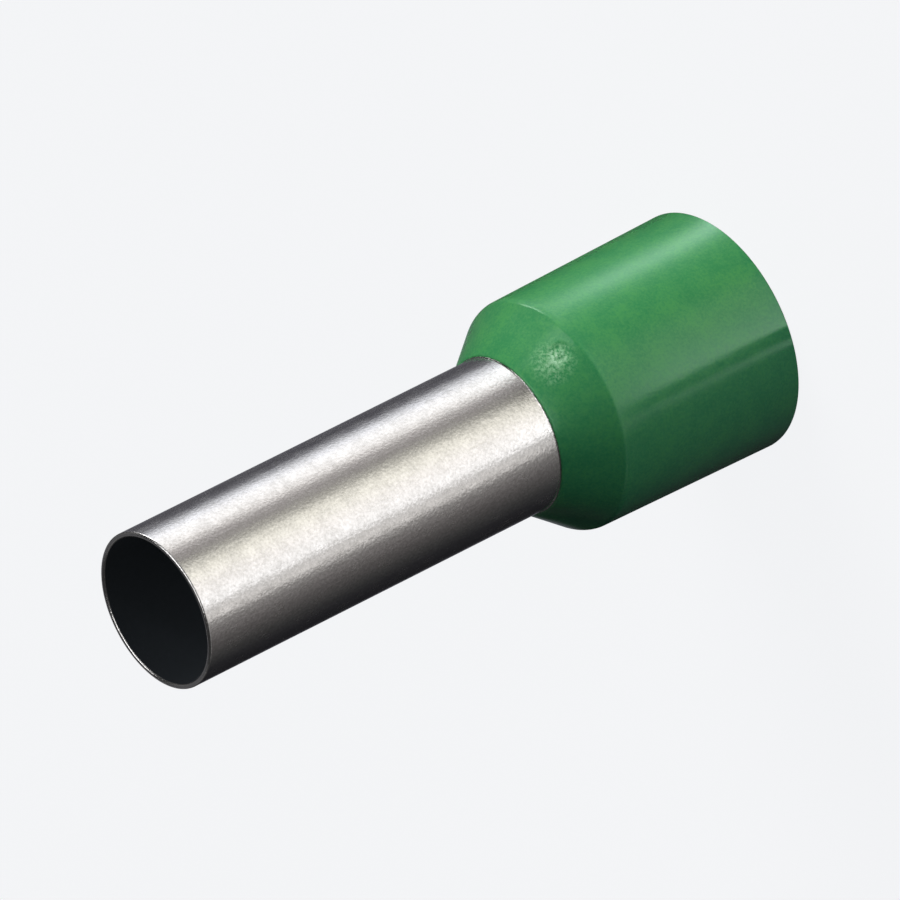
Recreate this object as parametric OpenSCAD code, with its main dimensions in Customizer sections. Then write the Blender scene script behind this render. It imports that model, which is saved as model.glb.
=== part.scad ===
// Insulated end ferrule for one stranded wire: a drawn copper sleeve, flared at
// the wire's end, seated in a moulded collar. It stands on the collar's mouth,
// with Z along the axis and Z = 0 at the mouth's end face.

/* [Sleeve] */
// Inner diameter of the metal sleeve, which takes the bare strands
sleeve_bore_d = 5.8; // [5:0.05:6.8]
// Thickness of the sleeve's wall
sleeve_wall = 0.2; // [0.15:0.01:0.3]
// Length of sleeve that stands out of the collar's nose
contact_len = 16.9; // [8:0.1:32]
// Rounding of the two edges at the sleeve's cut tip
tip_edge = 0.05; // [0.02:0.01:0.07]

/* [Flare] */
// Angle between the flare and the axis
flare_angle = 40; // [30:1:50]
// Radius of the bend from the straight sleeve into the flare, on its outside
bend_r = 0.4; // [0.2:0.05:0.6]
// Gap from the flare's rim to the corner where the funnel meets the skirt
rim_gap = 0.3; // [0.1:0.05:0.6]

/* [Collar] */
// Length of the collar, from its nose to its mouth
collar_len = 10.3; // [8:0.1:20]
// Inner diameter at the mouth, which takes the wire's insulation
collar_bore_d = 8.75; // [8:0.05:12]
// Thickness of the skirt's wall at the mouth
skirt_wall = 0.4; // [0.3:0.01:1]
// Draft of the skirt, inside and outside, so that it leaves its mould
skirt_draft = 1.1; // [0.3:0.1:2]
// Straight length of the bore behind the mouth
entry_len = 3; // [1:0.1:4]
// Height of the sloping shoulder, from the nose to the ridge
shoulder_len = 1.95; // [1.3:0.05:2.4]
// Width of the flat nose around the sleeve
nose_lip = 0.08; // [0.04:0.01:0.3]
// Length of the neck that grips the straight sleeve behind the nose
grip_len = 1.2; // [0.7:0.05:2.5]
// Rounding of the ridge between the shoulder and the skirt
ridge_round = 0.3; // [0.1:0.05:0.6]
// Rounding of the corner where the funnel meets the skirt
funnel_round = 0.4; // [0.1:0.05:0.6]
// Rounding of the mouth's outer and inner edges
mouth_edge = 0.08; // [0.02:0.01:0.12]

/* [Gate mark] */
// Direction of the gate mark about the axis
gate_angle = 270; // [0:5:355]
// Distance down the shoulder's slope from the nose to the gate mark
gate_drop = 1.63; // [1:0.05:1.75]
// Diameter of the shallow dimple around the gate
dimple_d = 0.8; // [0.5:0.05:1]
// Depth of the dimple
dimple_depth = 0.05; // [0.03:0.01:0.1]
// Diameter of the stub that is left where the gate broke off
stub_d = 0.36; // [0.2:0.02:0.44]
// Height of the stub above the dimple's floor
stub_h = 0.07; // [0.04:0.01:0.12]

/* [Hidden] */
$fn = 96;
// Largest angle between two points of a rounded corner
arc_step = 10;

sleeve_r = sleeve_bore_d / 2 + sleeve_wall;
tip_z = collar_len + contact_len;
mouth_bore_r = collar_bore_d / 2;
mouth_r = mouth_bore_r + skirt_wall;
nose_r = sleeve_r + nose_lip;
ridge_z = collar_len - shoulder_len;
ridge_r = mouth_r - ridge_z * tan(skirt_draft);
// The seat is the corner where the neck opens into the funnel that carries the flare.
seat_z = collar_len - grip_len;
// The funnel runs down from the seat until it meets the drafted inside of the skirt.
funnel_z = (sleeve_r - mouth_bore_r + seat_z * tan(flare_angle) - entry_len * tan(skirt_draft))
    / (tan(flare_angle) - tan(skirt_draft));
funnel_r = sleeve_r + (seat_z - funnel_z) * tan(flare_angle);
// The flare lies on the funnel up to its rim, which is cut square to the sleeve's wall.
rim_outer = [funnel_r, funnel_z] + rim_gap * [-sin(flare_angle), cos(flare_angle)];
rim_inner = rim_outer - sleeve_wall * [cos(flare_angle), sin(flare_angle)];
// Inside the sleeve the bend's corner sits lower, by the wall's own thickness around the bend.
inner_seat_z = seat_z - sleeve_wall * tan(flare_angle / 2);
shoulder_angle = atan((ridge_r - nose_r) / shoulder_len);
// How far the cutting shapes reach past the surfaces that they open
past = 1;

function unit(v) = v / norm(v);

function turned(v, angle) = [v[0] * cos(angle) - v[1] * sin(angle), v[0] * sin(angle) + v[1] * cos(angle)];

// Points of the arc that rounds the corner p of an anticlockwise outline, between the points a and b
function corner_arc(a, p, b, r) =
    let (
        to_a = unit(a - p),
        to_b = unit(b - p),
        half = acos(to_a * to_b) / 2,
        centre = p + unit(to_a + to_b) * r / sin(half),
        first = p + to_a * r / tan(half) - centre,
        turn = (180 - 2 * half) * sign(cross(p - a, b - p)),
        steps = ceil(abs(turn) / arc_step)
    )
    [for (i = [0:steps]) centre + turned(first, turn * i / steps)];

// An anticlockwise outline with each corner rounded by its own radius, or left sharp at 0
function rounded(points, radii) =
    let (n = len(points))
    [for (i = [0:n - 1])
        each radii[i] == 0
            ? [points[i]]
            : corner_arc(points[(i + n - 1) % n], points[i], points[(i + 1) % n], radii[i])];

// One drawn copper tube, tinned, with the wire's end belled out and cut square to its wall
module sleeve() {
    bore_r = sleeve_bore_d / 2;
    color("gainsboro")
        rotate_extrude()
            polygon(rounded(
                [
                    rim_inner,
                    rim_outer,
                    [sleeve_r, seat_z],
                    [sleeve_r, tip_z],
                    [bore_r, tip_z],
                    [bore_r, inner_seat_z]
                ],
                [0, 0, bend_r, tip_edge, tip_edge, bend_r + sleeve_wall]
            ));
}

// Half section of the collar: skirt, ridge, shoulder, nose, neck and funnel
module collar_section() {
    polygon(rounded(
        [
            [mouth_bore_r, 0],
            [mouth_r, 0],
            [ridge_r, ridge_z],
            [nose_r, collar_len],
            [sleeve_r, collar_len],
            [sleeve_r, seat_z],
            [funnel_r, funnel_z],
            [mouth_bore_r, entry_len]
        ],
        [mouth_edge, mouth_edge, ridge_round, 0, 0, bend_r, funnel_round, 0]
    ));
}

// Puts its children on the shoulder at the gate, with Z square to the slope
module at_gate() {
    rotate([0, 0, gate_angle])
        translate([nose_r + gate_drop * sin(shoulder_angle), 0, collar_len - gate_drop * cos(shoulder_angle)])
            rotate([0, 90 - shoulder_angle, 0])
                children();
}

// One moulded collar, with the mark of the gate that it was filled through
module collar() {
    color("seagreen") {
        difference() {
            rotate_extrude()
                collar_section();
            at_gate()
                translate([0, 0, -dimple_depth])
                    cylinder(d = dimple_d, h = dimple_depth + past);
        }
        at_gate()
            translate([0, 0, -2 * dimple_depth])
                cylinder(d = stub_d, h = dimple_depth + stub_h);
    }
}

sleeve();
collar();
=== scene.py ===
import math

import bpy
from mathutils import Matrix, Vector, noise


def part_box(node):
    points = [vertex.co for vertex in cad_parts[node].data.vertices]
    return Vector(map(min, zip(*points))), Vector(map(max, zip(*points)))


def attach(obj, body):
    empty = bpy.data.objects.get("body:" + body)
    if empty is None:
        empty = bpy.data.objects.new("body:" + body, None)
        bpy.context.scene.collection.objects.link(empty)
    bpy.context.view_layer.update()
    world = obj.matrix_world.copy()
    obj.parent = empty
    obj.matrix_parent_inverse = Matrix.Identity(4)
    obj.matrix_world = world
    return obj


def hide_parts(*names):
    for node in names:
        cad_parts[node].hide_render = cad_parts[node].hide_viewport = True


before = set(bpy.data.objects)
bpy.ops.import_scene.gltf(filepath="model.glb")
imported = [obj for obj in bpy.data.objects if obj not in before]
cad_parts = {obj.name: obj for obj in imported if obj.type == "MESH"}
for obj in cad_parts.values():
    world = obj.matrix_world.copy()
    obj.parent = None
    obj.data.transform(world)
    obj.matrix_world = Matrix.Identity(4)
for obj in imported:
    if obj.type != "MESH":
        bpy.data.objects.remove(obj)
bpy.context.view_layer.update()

mm = 0.001
perMm = 1 / mm  # turns the metres of object coordinates into millimetres, in which patterns are sized
print("frame loaded")

# The camera of the photograph, fitted to the outlines of the tube and the collar
cameraSettings = {
    "lens": 600,  # mm on a 36 mm sensor: a long view with almost parallel lines
    "azimuth": -115.8,  # degrees about Z from +X to where the camera stands
    "elevation": 32.37,
    "roll": 116.6,  # the photograph shows the tube pointing down to the left
    "distance": 552.2,  # mm from the point that it aims at
    "aim": (0.39, -0.19, 12.76),  # mm
}


# The unit vector of a direction given in degrees about Z and above the floor
def pointing(azimuth, elevation):
    turn, rise = math.radians(azimuth), math.radians(elevation)
    return Vector((math.cos(rise) * math.cos(turn), math.cos(rise) * math.sin(turn), math.sin(rise)))


def placeCamera(settings):
    towards = pointing(settings["azimuth"], settings["elevation"])
    camera = bpy.data.objects.new("camera", bpy.data.cameras.new("camera"))
    camera.data.lens = settings["lens"]
    bpy.context.scene.collection.objects.link(camera)
    place = (Vector(settings["aim"]) + towards * settings["distance"]) * mm
    look = towards.to_track_quat("Z", "Y").to_matrix().to_4x4()
    roll = Matrix.Rotation(-math.radians(settings["roll"]), 4, "Z")
    camera.matrix_world = Matrix.Translation(place) @ look @ roll
    bpy.context.scene.camera = camera


placeCamera(cameraSettings)
print("camera placed")


# Turns an sRGB code of six digits into the linear colour that a shader takes
def hexColour(code):
    channels = [int(code[i:i + 2], 16) / 255 for i in (0, 2, 4)]
    linear = [c / 12.92 if c <= 0.04045 else ((c + 0.055) / 1.055) ** 2.4 for c in channels]
    return (*linear, 1.0)


# Numbers and names with a capital are a node's sockets, other names its own settings
def isSocket(key):
    return isinstance(key, int) or key[0].isupper()


# A node's own settings are made first, because they decide which of its sockets count
def addNode(tree, kind, settings=None, links=None):
    node = tree.nodes.new(kind)
    for key, value in sorted((settings or {}).items(), key=lambda pair: isSocket(pair[0])):
        if isSocket(key):
            node.inputs[key].default_value = value
        else:
            setattr(node, key, value)
    for key, source in (links or {}).items():
        tree.links.new(source, node.inputs[key])
    return node


def newMaterial(name):
    material = bpy.data.materials.new(name)
    material.use_nodes = True
    material.node_tree.nodes.clear()
    return material, material.node_tree


def setRamp(node, stops):
    ramp = node.color_ramp
    while len(ramp.elements) < len(stops):
        ramp.elements.new(1.0)
    for element, (position, colour) in zip(ramp.elements, stops):
        element.position = position
        element.color = colour


# Turns are in degrees on the stage, from the camera's side and minus towards the key lamp
stageSettings = {
    "pale": "f4f5f7",
    "floorSize": 6.0,  # metres
    "shadowShare": 0.10,  # of the floor, which reflects the lamps and so takes the object's shadow
    "openFloor": 0.3,  # brightness of that share where no shadow falls; the floor's glow gives the rest
    "bounce": "6f7480",  # the paper as the object is lit by it
    "bounceGlow": 0.14,
    "worldFill": 0.035,  # brightness of the light from all round
    "cool": "b9c8f2",  # tint of that light and of the paper's glow
    "key": {"turn": -80, "elevation": 7, "spread": 44, "strength": 4.2, "colour": "fffff5"},
    "low": {"turn": -12, "elevation": 2, "spread": 10, "strength": 1.32, "colour": "d4f4ff"},
    "back": {"turn": 182, "elevation": 4, "spread": 40, "strength": 0.6, "colour": "ffffff"},
    # A reflector that lies on the floor towards the camera and lights the skirt from below, in mm
    "reflector": {
        "turns": (-40, 0),
        "from": 5.5,
        "to": 60,
        "height": 0.01,
        "brightness": 0.62,
        "colour": "ffd6a0",
    },
}


# 1 for the rays that show the stage, 0 for those that only carry its light to the object
def seenRays(tree):
    path = addNode(tree, "ShaderNodeLightPath")
    either = addNode(tree, "ShaderNodeMath", {"operation": "MAXIMUM"},
                     {0: path.outputs["Is Camera Ray"], 1: path.outputs["Is Glossy Ray"]})
    return addNode(tree, "ShaderNodeMath", {"operation": "MAXIMUM"},
                   {0: either.outputs[0], 1: path.outputs["Is Transmission Ray"]}).outputs[0]


# The floor looks evenly pale but for the object's soft shadow, and lights the object as a greyer paper
def makeFloor(settings):
    bpy.ops.mesh.primitive_plane_add(size=settings["floorSize"], location=(0, 0, 0))
    floor = bpy.context.object
    floor.name = "floor"
    material, tree = newMaterial("palePaper")
    share, pale = settings["shadowShare"], hexColour(settings["pale"])
    ownLight = 1 - settings["openFloor"] * share
    glow = addNode(tree, "ShaderNodeEmission", {"Color": pale, "Strength": ownLight})
    caught = addNode(tree, "ShaderNodeBsdfDiffuse", {"Color": tuple(share * c for c in pale[:3]) + (1,)})
    seen = addNode(tree, "ShaderNodeAddShader", links={0: glow.outputs[0], 1: caught.outputs[0]})
    paper = addNode(tree, "ShaderNodeBsdfDiffuse", {"Color": hexColour(settings["bounce"])})
    thrown = addNode(tree, "ShaderNodeEmission",
                     {"Color": hexColour(settings["cool"]), "Strength": settings["bounceGlow"]})
    bounce = addNode(tree, "ShaderNodeAddShader", links={0: paper.outputs[0], 1: thrown.outputs[0]})
    both = addNode(tree, "ShaderNodeMixShader",
                   links={0: seenRays(tree), 1: bounce.outputs[0], 2: seen.outputs[0]})
    addNode(tree, "ShaderNodeOutputMaterial", links={"Surface": both.outputs[0]})
    floor.data.materials.append(material)


def makeWorld(settings):
    world = bpy.data.worlds.new("studio")
    world.use_nodes = True
    tree = world.node_tree
    tree.nodes.clear()
    fill = addNode(tree, "ShaderNodeBackground",
                   {"Color": hexColour(settings["cool"]), "Strength": settings["worldFill"]})
    seen = addNode(tree, "ShaderNodeBackground", {"Color": hexColour(settings["pale"]), "Strength": 1.0})
    both = addNode(tree, "ShaderNodeMixShader",
                   links={0: seenRays(tree), 1: fill.outputs[0], 2: seen.outputs[0]})
    addNode(tree, "ShaderNodeOutputWorld", links={"Surface": both.outputs[0]})
    bpy.context.scene.world = world


# The azimuth of a turn on the stage
def stageTurn(turn):
    return cameraSettings["azimuth"] - turn


def addSun(name, settings):
    lamp = bpy.data.objects.new(name, bpy.data.lights.new(name, "SUN"))
    lamp.data.energy = settings["strength"]
    lamp.data.color = hexColour(settings["colour"])[:3]
    lamp.data.angle = math.radians(settings["spread"])
    towards = pointing(stageTurn(settings["turn"]), settings["elevation"])
    lamp.matrix_world = towards.to_track_quat("Z", "Y").to_matrix().to_4x4()
    lamp.visible_glossy = False
    bpy.context.scene.collection.objects.link(lamp)


# Grey cards round the foot, seen only in reflections, as the flags and reflectors of the studio are.
# A card's stops go from the key lamp's side to the dark side: (turn on the object, brightness, tint).
# Lengths are in mm, and each card lies a little above the one that it covers.
cardSettings = {
    "tints": {
        "white": "ffffff",
        "mauve": "f0efff",
        "rose": "fff8f7",
        "cream": "fffdf1",
        "ivory": "fffcf9",
        "cool": "f0fcff",
        "pearl": "f5f8ff",
    },
    "skirt": {
        "radius": 4.74,  # the wall that mirrors this card
        "from": 0.05,  # out from that wall
        "to": 14,
        "height": 0.03,
        "fade": (0.76, 0.98, 0.68),  # its far part is dimmer: where that starts and ends, and what is left
        "stops": [
            (-90, 0.05, "white"), (-72, 0.02, "white"), (-62, 0.12, "white"), (-57, 0.4, "cool"),
            (-53, 1.3, "cool"), (-50, 2.4, "cool"), (-47, 3.2, "cool"), (-44, 2.8, "cool"),
            (-40, 1.3, "cool"), (-36, 0.55, "white"), (-30, 0.12, "white"), (-20, 0.05, "cream"),
            (-15, 0.35, "cream"), (-10, 1.0, "cream"), (-4, 1.42, "cream"), (8, 2.5, "white"),
            (12, 3.0, "white"), (12.8, 0.15, "white"), (18, 0.15, "white"), (18.8, 1.2, "white"),
            (20.8, 1.3, "white"), (22, 0.2, "white"), (45, 0.1, "white"), (60, 0.07, "cool"),
            (75, 0.035, "cool"), (90, 0.02, "cool"),
        ],
    },
    "sleeve": {
        "radius": 3.1,
        "from": 15,
        "to": 150,
        "height": 0.02,
        "fade": (0, 1, 1),  # none
        "stops": [
            (-90, 0.4, "mauve"), (-82, 0.12, "mauve"), (-70, 0.085, "mauve"), (-65, 0.1, "mauve"),
            (-60, 0.135, "mauve"), (-55, 0.7, "pearl"), (-50, 1.32, "pearl"), (-45, 1.39, "white"),
            (-40, 1.38, "white"), (-35, 1.1, "ivory"), (-30, 0.41, "rose"), (-25, 0.31, "rose"),
            (-20, 0.35, "cream"), (-15, 0.9, "cream"), (-10, 1.2, "cream"), (0, 1.25, "ivory"),
            (10, 1.36, "white"), (12.5, 1.31, "white"), (14.5, 0.5, "ivory"), (17.5, 0.66, "ivory"),
            (19.5, 1.14, "ivory"), (21, 0.8, "ivory"), (24, 0.22, "ivory"), (30, 0.19, "rose"),
            (35, 0.125, "rose"), (40, 0.087, "rose"), (50, 0.04, "white"), (60, 0.019, "mauve"),
            (80, 0.01, "mauve"), (90, 0.4, "mauve"),
        ],
    },
    # Stands at the sleeve card's far end, which only low views mirror
    "wall": {
        "height": 22,
        "fade": (0, 1, 1),
        "stops": [
            (-90, 0.4, "white"), (-83, 0.4, "white"), (-78, 0.1, "white"), (-54, 0.1, "white"),
            (-48, 0.9, "white"), (-36, 1.2, "white"), (-30, 0.4, "white"), (-22, 0.4, "white"),
            (-14, 1.1, "white"), (12, 1.1, "white"), (18, 0.5, "white"), (42, 0.4, "white"),
            (50, 0.06, "white"), (78, 0.06, "white"), (83, 0.4, "white"), (90, 0.4, "white"),
        ],
    },
    "brightest": 3.5,  # what a stop's brightness is divided by, since a ramp holds no more than 1
    "dome": {"radius": 180, "height": 0.01, "brightness": 0.03},  # the dark studio above
    "back": {"radius": 150, "height": 0.015, "brightness": 0.1},  # the floor under the other cards
    "patchRadius": 147,
    # Patches of light in the dome, turns and elevations in degrees
    "patches": {
        "top": {"turns": (-105, 30), "elevations": (52, 72), "brightness": 2.4},
        "spot": {"turns": (-74, -48), "elevations": (28, 37), "brightness": 2.4},
        "ridge": {"turns": (-112, -86), "elevations": (3, 11), "brightness": 6.0},
        "rear": {"turns": (120, 240), "elevations": (18, 48), "brightness": 0.12},
    },
}


# Leaves a card visible to one kind of ray
def showOnlyTo(seen, card, material):
    card.data.materials.append(material)
    for ray in ("camera", "diffuse", "glossy", "transmission", "volume_scatter", "shadow"):
        setattr(card, "visible_" + ray, ray == seen)


# Shines by a card's stops over the turns and by its fade outwards
def cardMaterial(name, card, settings):
    material, tree = newMaterial(name)
    brightest = settings["brightest"]
    place = addNode(tree, "ShaderNodeUVMap", {"uv_map": "UVMap"})
    parts = addNode(tree, "ShaderNodeSeparateXYZ", links={0: place.outputs[0]})
    ramp = addNode(tree, "ShaderNodeValToRGB", links={"Fac": parts.outputs["X"]})
    stops = []
    for turn, level, tint in card["stops"]:
        shade = [level / brightest * part for part in hexColour(settings["tints"][tint])[:3]]
        stops.append(((turn + 90) / 180, (*shade, 1)))
    setRamp(ramp, stops)
    start, end, left = card["fade"]
    strength = addNode(tree, "ShaderNodeMapRange",
                       {"From Min": start, "From Max": end, "To Min": brightest, "To Max": left * brightest},
                       {"Value": parts.outputs["Y"]})
    glow = addNode(tree, "ShaderNodeEmission",
                   links={"Color": ramp.outputs["Color"], "Strength": strength.outputs[0]})
    addNode(tree, "ShaderNodeOutputMaterial", links={"Surface": glow.outputs[0]})
    return material


# Shines on one side only and is clear on the other, so that a card on the floor leaves the floor's
# own light alone
def evenMaterial(name, brightness, colour="ffffff"):
    material, tree = newMaterial(name)
    side = addNode(tree, "ShaderNodeNewGeometry").outputs["Backfacing"]
    glow = addNode(tree, "ShaderNodeEmission", {"Color": hexColour(colour), "Strength": brightness})
    clear = addNode(tree, "ShaderNodeBsdfTransparent")
    both = addNode(tree, "ShaderNodeMixShader", links={0: side, 1: glow.outputs[0], 2: clear.outputs[0]})
    addNode(tree, "ShaderNodeOutputMaterial", links={"Surface": both.outputs[0]})
    return material


# Turns a card's faces so that they shine at a point on the object's axis, given in millimetres
def faceObject(card, point=(0, 0, 10)):
    face = card.data.polygons[len(card.data.polygons) // 2]
    if face.normal.dot(Vector(point) * mm - face.center) < 0:
        card.data.flip_normals()


# A grid whose first side runs over the turns from -90 to 90 and whose second side from 0 to 1
def placeGrid(name, shape, material, seen="glossy"):
    bpy.ops.mesh.primitive_grid_add(x_subdivisions=180, y_subdivisions=6, size=2)
    card = bpy.context.object
    card.name = name
    for vertex in card.data.vertices:
        vertex.co = shape(90 * vertex.co.x, (vertex.co.y + 1) / 2) * mm
    faceObject(card)
    showOnlyTo(seen, card, material)


# Goes from the first to the last value while the turn goes from -90 to 90
def across(values, turn):
    first, last = values
    return first + (last - first) * (turn + 90) / 180


# How far out a floor card's row lies, with the rows closer together near the object
def reachOf(card, out):
    return card["from"] + (card["to"] - card["from"]) * out ** 2


def makeReflector(settings):
    card = settings["reflector"]

    def shape(turn, out):
        flat = reachOf(card, out) * pointing(stageTurn(across(card["turns"], turn)), 0)
        return flat + Vector((0, 0, card["height"]))
    placeGrid("reflector", shape, evenMaterial("reflector", card["brightness"], card["colour"]), "diffuse")


def makeCards(settings):
    for part in ("skirt", "sleeve"):
        card = settings[part]

        # A line of equal turn leaves the wall in the direction that its mirror image has,
        # so bands run straight up
        def flatShape(turn, out):
            foot = card["radius"] * pointing(stageTurn(turn), 0)
            flat = foot + reachOf(card, out) * pointing(stageTurn(2 * turn), 0)
            return flat + Vector((0, 0, card["height"]))
        placeGrid(part + "Card", flatShape, cardMaterial(part + "Card", card, settings))

    def wallShape(turn, up):
        foot = settings["sleeve"]["to"] * pointing(stageTurn(2 * turn), 0)
        return foot + Vector((0, 0, settings["wall"]["height"] * up))
    placeGrid("wallCard", wallShape, cardMaterial("wallCard", settings["wall"], settings))

    for name, patch in settings["patches"].items():
        def skyShape(turn, up):
            low, high = patch["elevations"]
            towards = pointing(stageTurn(across(patch["turns"], turn)), low + (high - low) * up)
            return settings["patchRadius"] * towards
        placeGrid(name + "Card", skyShape, evenMaterial(name + "Card", patch["brightness"]))

    sphere, disc = settings["dome"], settings["back"]
    bpy.ops.mesh.primitive_uv_sphere_add(segments=48, ring_count=24, radius=sphere["radius"] * mm)
    dome = bpy.context.object
    dome.name = "darkDome"
    for vertex in dome.data.vertices:
        vertex.co.z = max(vertex.co.z, sphere["height"] * mm)
    faceObject(dome)
    showOnlyTo("glossy", dome, evenMaterial("darkDome", sphere["brightness"]))

    bpy.ops.mesh.primitive_circle_add(
        vertices=48, radius=disc["radius"] * mm, fill_type="NGON", location=(0, 0, disc["height"] * mm))
    back = bpy.context.object
    back.name = "backCard"
    showOnlyTo("glossy", back, evenMaterial("backCard", disc["brightness"]))


bpy.ops.object.select_all(action="DESELECT")
makeFloor(stageSettings)
makeWorld(stageSettings)
addSun("keyLamp", stageSettings["key"])
addSun("lowLamp", stageSettings["low"])
addSun("backLamp", stageSettings["back"])
makeReflector(stageSettings)
makeCards(cardSettings)
bpy.context.scene.view_settings.view_transform = "Standard"
print("stage set")


# A turned piece: one ring for each corner of its half section, in millimetres, outside first
def turnSection(name, corners, segments):
    bpy.ops.object.select_all(action="DESELECT")
    radius, height = corners[0]
    bpy.ops.mesh.primitive_circle_add(vertices=segments, radius=radius * mm, location=(0, 0, height * mm))
    piece = bpy.context.object
    piece.name = piece.data.name = name
    bpy.ops.object.transform_apply(location=True, rotation=True, scale=True)
    bpy.ops.object.mode_set(mode="EDIT")
    bpy.ops.mesh.select_all(action="SELECT")
    for nextRadius, nextHeight in corners[1:]:
        rise = (0, 0, (nextHeight - height) * mm)
        bpy.ops.mesh.extrude_region_move(TRANSFORM_OT_translate={"value": rise})
        grow = nextRadius / radius
        bpy.ops.transform.resize(value=(grow, grow, 1), center_override=(0, 0, nextHeight * mm))
        radius, height = nextRadius, nextHeight
    selectRings(piece, [corners[0], corners[-1]])
    bpy.ops.mesh.bridge_edge_loops()
    bpy.ops.object.mode_set(mode="OBJECT")
    return piece


# Selects the edges that run round the axis at the given corners, to within a slack in millimetres
def selectRings(piece, places, slack=0.002):
    bpy.ops.object.mode_set(mode="EDIT")
    bpy.ops.mesh.select_mode(type="EDGE")
    bpy.ops.mesh.select_all(action="DESELECT")
    bpy.ops.object.mode_set(mode="OBJECT")
    vertices = piece.data.vertices
    for edge in piece.data.edges:
        ends = [(vertices[i].co.xy.length / mm, vertices[i].co.z / mm) for i in edge.vertices]
        edge.select = any(
            all(abs(z - height) < slack and abs(r - radius) < slack for r, z in ends)
            for radius, height in places
        )
    bpy.ops.object.mode_set(mode="EDIT")


# Rounds a ring edge at which the wall turns by this many degrees
def roundRing(piece, corner, radius, turn, segments):
    selectRings(piece, [corner])
    width = radius * math.tan(math.radians(turn) / 2) * mm
    bpy.ops.mesh.bevel(offset_type="OFFSET", offset=width, segments=segments, profile=0.5)
    bpy.ops.object.mode_set(mode="OBJECT")


# Edges that turn by less than the smooth angle are shaded as one surface
def finishPiece(piece, node, material, smoothAngle=40):
    bpy.ops.object.mode_set(mode="EDIT")
    bpy.ops.mesh.select_all(action="SELECT")
    bpy.ops.mesh.remove_doubles(threshold=1e-7)
    bpy.ops.mesh.normals_make_consistent(inside=False)
    bpy.ops.object.mode_set(mode="OBJECT")
    bpy.ops.object.shade_smooth_by_angle(angle=math.radians(smoothAngle))
    piece.data.materials.append(material)
    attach(piece, "root")
    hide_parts(node)


# Lengths are in mm, and patterns in cells to the mm
sleeveSettings = {
    "bore": 5.8,
    "wall": 0.2,
    "seat": 9.1,  # height at which the flare starts
    "rim": (4.092, 7.918),
    "flare": 40,  # degrees from the axis
    "bend": 0.4,
    "tipEdge": 0.09,  # the burr is tumbled off, so the cut end is almost round
    "bead": 0.05,  # tin wiped up against the collar's nose when the sleeve was pressed in
    "beadRound": 0.015,
    "beadLift": 0.004,  # so that the bead doesn't cut the nose
    "around": 256,
    "tin": "eceae9",
    "tinDull": "d2d0ce",
    "cutEdge": "cfced2",
    # The bore's grey is darkened as painted shade of the deep hole
    "inside": "53595f",
    "roughness": (0.18, 0.28),  # from the most to the least burnished patches
    "lineRoughness": 0.12,
    "insideRoughness": 1.0,
    "grain": 1 / 0.11,  # drawn coarser than the real grains, so that they show
    "drawLine": 1 / 0.12,
    "drawLength": 0.06,  # of a line's cells along the draw, for each one across
    "patch": 1.6,  # more and less burnished patches
    "wave": 0.5,  # the tube's wall isn't quite even
    "bumps": {"wave": 0.005, "line": 0.002, "grain": 0.008},  # heights
}
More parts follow.
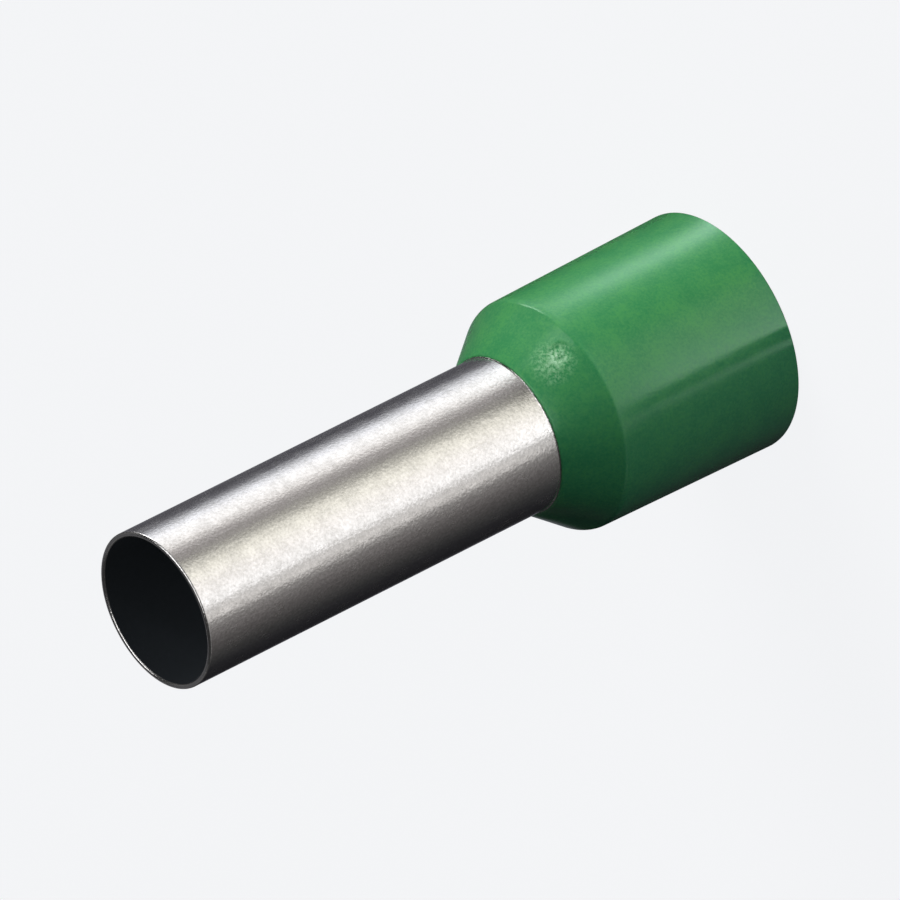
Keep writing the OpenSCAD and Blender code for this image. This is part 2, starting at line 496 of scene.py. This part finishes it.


# Drawn copper tube, electroplated with tin: silvery and satin, a little warm, with a fine grain that
# sparkles and breaks up the edges of reflections, faint lines along the draw, and a rough bore that
# no die has burnished, whose grey is darkened as painted shade of the deep hole
def tinPlatedDrawnCopper(settings):
    material, tree = newMaterial("tinPlatedDrawnCopper")
    spot = addNode(tree, "ShaderNodeTexCoord")
    place = addNode(tree, "ShaderNodeMapping", {"Scale": (perMm, perMm, perMm)},
                    {"Vector": spot.outputs["Object"]}).outputs[0]
    drawn = addNode(tree, "ShaderNodeMapping", {"Scale": (perMm, perMm, settings["drawLength"] * perMm)},
                    {"Vector": spot.outputs["Object"]}).outputs[0]
    grain = addNode(tree, "ShaderNodeTexNoise",
                    {"Scale": settings["grain"], "Detail": 2.0, "Roughness": 0.6},
                    {"Vector": place}).outputs["Fac"]
    lines = addNode(tree, "ShaderNodeTexNoise",
                    {"Scale": settings["drawLine"], "Detail": 2.0, "Roughness": 0.5},
                    {"Vector": drawn}).outputs["Fac"]
    patches = addNode(tree, "ShaderNodeTexNoise",
                      {"Scale": settings["patch"], "Detail": 3.0, "Roughness": 0.6},
                      {"Vector": place}).outputs["Fac"]
    waves = addNode(tree, "ShaderNodeTexNoise", {"Scale": settings["wave"], "Detail": 1.0},
                    {"Vector": place}).outputs["Fac"]

    # Facing the axis is the inside, facing up is the cut edge at the tip
    flat = addNode(tree, "ShaderNodeVectorMath", {"operation": "MULTIPLY", 1: (1, 1, 0)},
                   {0: spot.outputs["Object"]}).outputs[0]
    outwards = addNode(tree, "ShaderNodeVectorMath", {"operation": "NORMALIZE"}, {0: flat}).outputs[0]
    facing = addNode(tree, "ShaderNodeVectorMath", {"operation": "DOT_PRODUCT"},
                     {0: outwards, 1: spot.outputs["Normal"]}).outputs["Value"]
    inside = addNode(tree, "ShaderNodeMapRange", {"From Min": -0.85, "From Max": -0.98},
                     {"Value": facing}).outputs[0]
    normal = addNode(tree, "ShaderNodeSeparateXYZ", links={0: spot.outputs["Normal"]})
    cut = addNode(tree, "ShaderNodeMapRange", {"From Min": 0.8, "From Max": 0.98},
                  {"Value": normal.outputs["Z"]}).outputs[0]

    # Grains face different ways, so each one is a little lighter or duller than the next
    mottled = addNode(tree, "ShaderNodeMath", {"operation": "MULTIPLY_ADD", 1: 0.5},
                      {0: patches, 2: grain}).outputs[0]
    dull = addNode(tree, "ShaderNodeMapRange", {"From Min": 0.55, "From Max": 0.95},
                   {"Value": mottled}).outputs[0]
    shades = {"data_type": "RGBA", 6: hexColour(settings["tin"]), 7: hexColour(settings["tinDull"])}
    tin = addNode(tree, "ShaderNodeMix", shades, {0: dull}).outputs[2]
    edged = addNode(tree, "ShaderNodeMix", {"data_type": "RGBA", 7: hexColour(settings["cutEdge"])},
                    {0: cut, 6: tin}).outputs[2]
    # The bore takes the darker grey, as painted shade of the deep hole
    colour = addNode(tree, "ShaderNodeMix", {"data_type": "RGBA", 7: hexColour(settings["inside"])},
                     {0: inside, 6: edged}).outputs[2]

    low, high = settings["roughness"]
    satin = addNode(tree, "ShaderNodeMapRange",
                    {"From Min": 0.3, "From Max": 0.7, "To Min": low, "To Max": high},
                    {"Value": patches}).outputs[0]
    spread = settings["lineRoughness"]
    streaked = addNode(tree, "ShaderNodeMath", {"operation": "MULTIPLY_ADD", 1: spread, 2: -spread / 2},
                       {0: lines}).outputs[0]
    outside = addNode(tree, "ShaderNodeMath", {"operation": "ADD"}, {0: satin, 1: streaked}).outputs[0]
    roughness = addNode(tree, "ShaderNodeMix", {3: settings["insideRoughness"]},
                        {0: inside, 2: outside}).outputs[0]

    normals = {}
    for name, height in (("wave", waves), ("line", lines), ("grain", grain)):
        bump = addNode(tree, "ShaderNodeBump", {"Strength": 1.0, "Distance": settings["bumps"][name] * mm},
                       {"Height": height, **normals})
        normals = {"Normal": bump.outputs[0]}
    surface = addNode(tree, "ShaderNodeBsdfPrincipled", {"Metallic": 1.0},
                      {"Base Color": colour, "Roughness": roughness, **normals})
    addNode(tree, "ShaderNodeOutputMaterial", links={"Surface": surface.outputs[0]})
    return material


def makeSleeve(settings):
    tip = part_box("sleeve")[1].z / mm
    wall = settings["wall"]
    inside = settings["bore"] / 2
    outside = inside + wall
    flare = math.radians(settings["flare"])
    rimOuter = settings["rim"]
    rimInner = (rimOuter[0] - wall * math.cos(flare), rimOuter[1] - wall * math.sin(flare))
    bendOuter = (outside, settings["seat"])
    bendInner = (inside, settings["seat"] - wall * math.tan(flare / 2))
    nose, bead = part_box("collar")[1].z / mm + settings["beadLift"], settings["bead"]
    beadEdge = (outside + bead, nose)
    corners = [
        rimInner,
        rimOuter,
        bendOuter,
        (outside, nose),
        beadEdge,
        (outside, nose + bead),
        (outside, tip),
        (inside, tip),
        bendInner,
    ]
    piece = turnSection("drawnSleeve", corners, settings["around"])
    roundRing(piece, beadEdge, settings["beadRound"], 135, 3)
    roundRing(piece, bendOuter, settings["bend"], settings["flare"], 8)
    roundRing(piece, bendInner, settings["bend"] + wall, settings["flare"], 8)
    roundRing(piece, (outside, tip), settings["tipEdge"], 90, 6)
    roundRing(piece, (inside, tip), settings["tipEdge"], 90, 6)
    finishPiece(piece, "sleeve", tinPlatedDrawnCopper(settings))


makeSleeve(sleeveSettings)
print("sleeve made")


# Lengths are in mm, patterns in cells to the mm, and a turn is the wall's at a corner in degrees
collarSettings = {
    "mouthInside": 4.375,
    "mouthOutside": 4.775,
    "mouthEdge": 0.08,
    "entry": 3.0,
    "ridge": (4.615, 8.35),
    "ridgeRound": 0.45,
    "ridgeTurn": 35.2,
    "nose": 3.18,
    "noseEdge": 0.1,
    "noseTurn": 53.7,
    "neck": 3.1,
    "seat": 9.1,
    "seatRound": 0.4,
    "seatTurn": 40,
    "funnel": (4.29, 7.69),
    "funnelRound": 0.4,
    "funnelTurn": 38.9,
    "around": 256,
    "gate": {
        "azimuth": 270,
        "drop": 1.63,  # down the slope from the nose
        "reach": 0.62,  # round the gate, which gets a fine mesh
        "ringGap": 0.1,
        "cuts": 7,
        "dimple": 0.32,
        "dimpleWall": 0.4,  # width of its sloping side
        "dimpleRagged": 0.05,
        "depth": 0.05,
        "stub": 0.18,
        "stubWall": 0.16,
        "stubRagged": 0.06,
        "stubHeight": 0.035,
        "stubRough": 0.006,
        # The rubbed patch also holds the painted sparkle of the highlight round the gate
        "sparkleAndScuffShift": (0.4, 1),  # mm towards the nose and degrees round to the middle of the rubbed patch
        # Distance from the gate, how much of the plastic is torn there, and so how bright the painted
        # sparkle is
        "tornAndSparkle": [(0.08, 0.35), (0.16, 1), (0.21, 0.45), (0.28, 0.3), (0.34, 0.75), (0.42, 0.2), (0.5, 0)],
    },
    "green": "45925a",
    "greenLight": "4c995a",
    "greenDeep": "3c8c57",
    # The pale of the torn gate, also used for the painted sparkle of the highlight round it
    "tornAndSparkle": "b4dcb8",  # stress-whitened where the gate broke off
    "sheen": "dcffe6",
    "roughness": (0.16, 0.25),
    "scuffRoughness": 0.1,
    "flow": 0.9,
    "mottle": 5.0,
    "fine": 10.0,  # drawn coarser than the mould's real texture, so that it shows
    "bumps": {"flow": 0.006, "mottle": 0.004, "scuff": 0.03},  # heights
}


# The gate's place on the shoulder, moved up the slope by millimetres and round the axis by degrees,
# and the direction square to the slope
def gatePlace(settings, up=0, around=0):
    gate = settings["gate"]
    drop = gate["drop"] - up
    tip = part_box("collar")[1].z / mm
    ridgeRadius, ridgeHeight = settings["ridge"]
    slope = math.atan2(ridgeRadius - settings["nose"], tip - ridgeHeight)
    centre = (settings["nose"] + drop * math.sin(slope)) * pointing(gate["azimuth"] - around, 0)
    centre.z = tip - drop * math.cos(slope)
    return centre, pointing(gate["azimuth"], math.degrees(slope))


# Injection-moulded polypropylene, dyed green: waxy and half glossy, so that strip reflections stay
# narrow, with a fine satin texture from the mould, small changes of shade where it flowed, and a pale
# torn gate, with pale flecks round it that are partly its stress whitening and partly painted sparkle
def mouldedPolypropylene(settings):
    material, tree = newMaterial("mouldedPolypropylene")
    spot = addNode(tree, "ShaderNodeTexCoord")
    place = addNode(tree, "ShaderNodeMapping", {"Scale": (perMm, perMm, perMm)},
                    {"Vector": spot.outputs["Object"]}).outputs[0]
    flow = addNode(tree, "ShaderNodeTexNoise",
                   {"Scale": settings["flow"], "Detail": 4.0, "Roughness": 0.6},
                   {"Vector": place}).outputs["Fac"]
    mottle = addNode(tree, "ShaderNodeTexNoise",
                     {"Scale": settings["mottle"], "Detail": 2.0, "Roughness": 0.6},
                     {"Vector": place}).outputs["Fac"]
    fine = addNode(tree, "ShaderNodeTexNoise",
                   {"Scale": settings["fine"], "Detail": 2.0, "Roughness": 0.7},
                   {"Vector": place}).outputs["Fac"]

    # The ring of the torn gate, and the rubbed patch round it that also holds painted sparkle, both ragged
    def awayFrom(centre, raggedness):
        away = addNode(tree, "ShaderNodeVectorMath", {"operation": "DISTANCE", 1: tuple(centre)}, {0: place})
        return addNode(tree, "ShaderNodeMath", {"operation": "ADD"},
                       {0: away.outputs["Value"], 1: raggedness}).outputs[0]
    ragged = addNode(tree, "ShaderNodeMath", {"operation": "MULTIPLY_ADD", 1: 0.36, 2: -0.18},
                     {0: mottle}).outputs[0]
    ring = awayFrom(gatePlace(settings)[0], ragged)
    tornAndSparkle = addNode(tree, "ShaderNodeValToRGB", links={"Fac": ring})
    setRamp(tornAndSparkle, [(away, (level, level, level, 1)) for away, level in settings["gate"]["tornAndSparkle"]])
    worn = addNode(tree, "ShaderNodeMath", {"operation": "MULTIPLY_ADD", 1: 0.6, 2: -0.3},
                   {0: flow}).outputs[0]
    patch = awayFrom(gatePlace(settings, *settings["gate"]["sparkleAndScuffShift"])[0], worn)
    scuffAndSparkle = addNode(tree, "ShaderNodeMapRange", {"From Min": 1.0, "From Max": 0.1},
                      {"Value": patch}).outputs[0]

    # The green, a little deeper or lighter from place to place
    specks = addNode(tree, "ShaderNodeMath", {"operation": "MULTIPLY_ADD", 1: 0.9, 2: -0.45},
                     {0: fine}).outputs[0]
    flecked = addNode(tree, "ShaderNodeMath", {"operation": "ADD"}, {0: flow, 1: specks}).outputs[0]
    shade = addNode(tree, "ShaderNodeMath", {"operation": "MULTIPLY_ADD", 1: 0.45},
                    {0: mottle, 2: flecked}).outputs[0]
    shades = addNode(tree, "ShaderNodeValToRGB", links={"Fac": shade})
    setRamp(shades, [
        (0.5, hexColour(settings["greenDeep"])),
        (0.72, hexColour(settings["green"])),
        (0.94, hexColour(settings["greenLight"])),
    ])

    # Pale flecks in the patch, densest at its middle and where the gate is torn: whitening and painted
    # sparkle
    uneven = addNode(tree, "ShaderNodeMath", {"operation": "MULTIPLY_ADD", 1: 0.6},
                     {0: mottle, 2: fine}).outputs[0]
    denser = addNode(tree, "ShaderNodeMath", {"operation": "MULTIPLY_ADD", 1: 0.2},
                     {0: scuffAndSparkle, 2: uneven}).outputs[0]
    flecksAndSparkle = addNode(tree, "ShaderNodeMapRange", {"From Min": 0.75, "From Max": 1.15},
                     {"Value": denser}).outputs[0]
    frayAndSparkle = addNode(tree, "ShaderNodeMath", {"operation": "ADD", 1: 0.75},
                   {0: tornAndSparkle.outputs["Color"]}).outputs[0]
    rubbedAndSparkle = addNode(tree, "ShaderNodeMath", {"operation": "MULTIPLY"}, {0: scuffAndSparkle, 1: frayAndSparkle}).outputs[0]
    # Painted sparkle: pale flecks over the patch stand in for glints of the highlight round the gate
    pale = addNode(tree, "ShaderNodeMath", {"operation": "MULTIPLY", "use_clamp": True},
                   {0: flecksAndSparkle, 1: rubbedAndSparkle}).outputs[0]
    colour = addNode(tree, "ShaderNodeMix", {"data_type": "RGBA", 7: hexColour(settings["tornAndSparkle"])},
                     {0: pale, 6: shades.outputs["Color"]}).outputs[2]

    low, high = settings["roughness"]
    satin = addNode(tree, "ShaderNodeMapRange",
                    {"From Min": 0.3, "From Max": 0.7, "To Min": low, "To Max": high},
                    {"Value": mottle}).outputs[0]
    rough = addNode(tree, "ShaderNodeMath", {"operation": "MULTIPLY_ADD", 1: settings["scuffRoughness"]},
                    {0: scuffAndSparkle, 2: satin}).outputs[0]

    deep = addNode(tree, "ShaderNodeMath", {"operation": "MULTIPLY"}, {0: fine, 1: scuffAndSparkle}).outputs[0]
    normals = {}
    for name, height in (("flow", flow), ("mottle", mottle), ("scuff", deep)):
        bump = addNode(tree, "ShaderNodeBump", {"Strength": 1.0, "Distance": settings["bumps"][name] * mm},
                       {"Height": height, **normals})
        normals = {"Normal": bump.outputs[0]}
    surface = addNode(tree, "ShaderNodeBsdfPrincipled", {
        "IOR": 1.49,
        "Subsurface Weight": 0.12,
        "Subsurface Radius": (0.4, 1.0, 0.5),
        "Subsurface Scale": 0.4 * mm,
        "Specular Tint": hexColour(settings["sheen"]),
    }, {"Base Color": colour, "Roughness": rough, **normals})
    addNode(tree, "ShaderNodeOutputMaterial", links={"Surface": surface.outputs[0]})
    return material


def smoothStep(value):
    value = min(max(value, 0), 1)
    return value * value * (3 - 2 * value)


# The gate broke off in the middle of a shallow dimple and left a low ragged stub
def markGate(piece, settings):
    gate = settings["gate"]
    centre, up = gatePlace(settings)
    mesh = piece.data
    bpy.ops.object.mode_set(mode="EDIT")
    bpy.ops.mesh.select_mode(type="FACE")
    bpy.ops.mesh.select_all(action="DESELECT")
    bpy.ops.object.mode_set(mode="OBJECT")
    for face in mesh.polygons:
        face.select = (face.center / mm - centre).length < gate["reach"] and face.normal.dot(up) > 0.9
    bpy.ops.object.mode_set(mode="EDIT")
    bpy.ops.mesh.subdivide(number_cuts=gate["cuts"])
    bpy.ops.object.mode_set(mode="OBJECT")
    sideways = Vector((0, 0, 1)).cross(up).normalized()
    for vertex in mesh.vertices:
        offset = vertex.co / mm - centre
        away = (offset - offset.dot(up) * up).length
        if away > gate["reach"] or abs(offset.dot(up)) > 0.1:
            continue
        turn = math.atan2(offset.dot(sideways), offset.dot(up.cross(sideways)))
        # Noise on a small circle changes with the turn only and meets itself after a whole one
        ragged = noise.noise(Vector((math.cos(turn) * 1.3, math.sin(turn) * 1.3, 4.7)))
        rough = noise.noise(offset * 9) + 0.6 * noise.noise(offset * 21)
        dimpleEdge = gate["dimple"] + gate["dimpleRagged"] * ragged
        stubEdge = gate["stub"] + gate["stubRagged"] * ragged
        dimple = smoothStep((dimpleEdge - away) / gate["dimpleWall"] + 0.5)
        stub = smoothStep((stubEdge - away) / gate["stubWall"] + 0.5)
        lift = stub * (gate["stubHeight"] + gate["stubRough"] * rough) - gate["depth"] * dimple
        vertex.co += up * lift * mm


def makeCollar(settings):
    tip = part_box("collar")[1].z / mm
    gate, ridge, nose = settings["gate"], settings["ridge"], (settings["nose"], tip)
    slope = Vector((nose[0] - ridge[0], nose[1] - ridge[1]))
    gateRings = []
    for step in range(6, -7, -1):
        part = 1 - (gate["drop"] + step * gate["ringGap"]) / slope.length
        gateRings.append((ridge[0] + slope.x * part, ridge[1] + slope.y * part))
    mouthInner, mouthOuter = (settings["mouthInside"], 0), (settings["mouthOutside"], 0)
    seat = (settings["neck"], settings["seat"])
    corners = [
        mouthInner,
        mouthOuter,
        ridge,
        *gateRings,
        nose,
        (settings["neck"], tip),
        seat,
        settings["funnel"],
        (settings["mouthInside"], settings["entry"]),
    ]
    piece = turnSection("mouldedCollar", corners, settings["around"])
    roundRing(piece, mouthInner, settings["mouthEdge"], 90, 4)
    roundRing(piece, mouthOuter, settings["mouthEdge"], 90, 4)
    roundRing(piece, ridge, settings["ridgeRound"], settings["ridgeTurn"], 8)
    roundRing(piece, nose, settings["noseEdge"], settings["noseTurn"], 3)
    roundRing(piece, seat, settings["seatRound"], settings["seatTurn"], 6)
    roundRing(piece, settings["funnel"], settings["funnelRound"], settings["funnelTurn"], 6)
    markGate(piece, settings)
    finishPiece(piece, "collar", mouldedPolypropylene(settings))


makeCollar(collarSettings)
print("collar made")
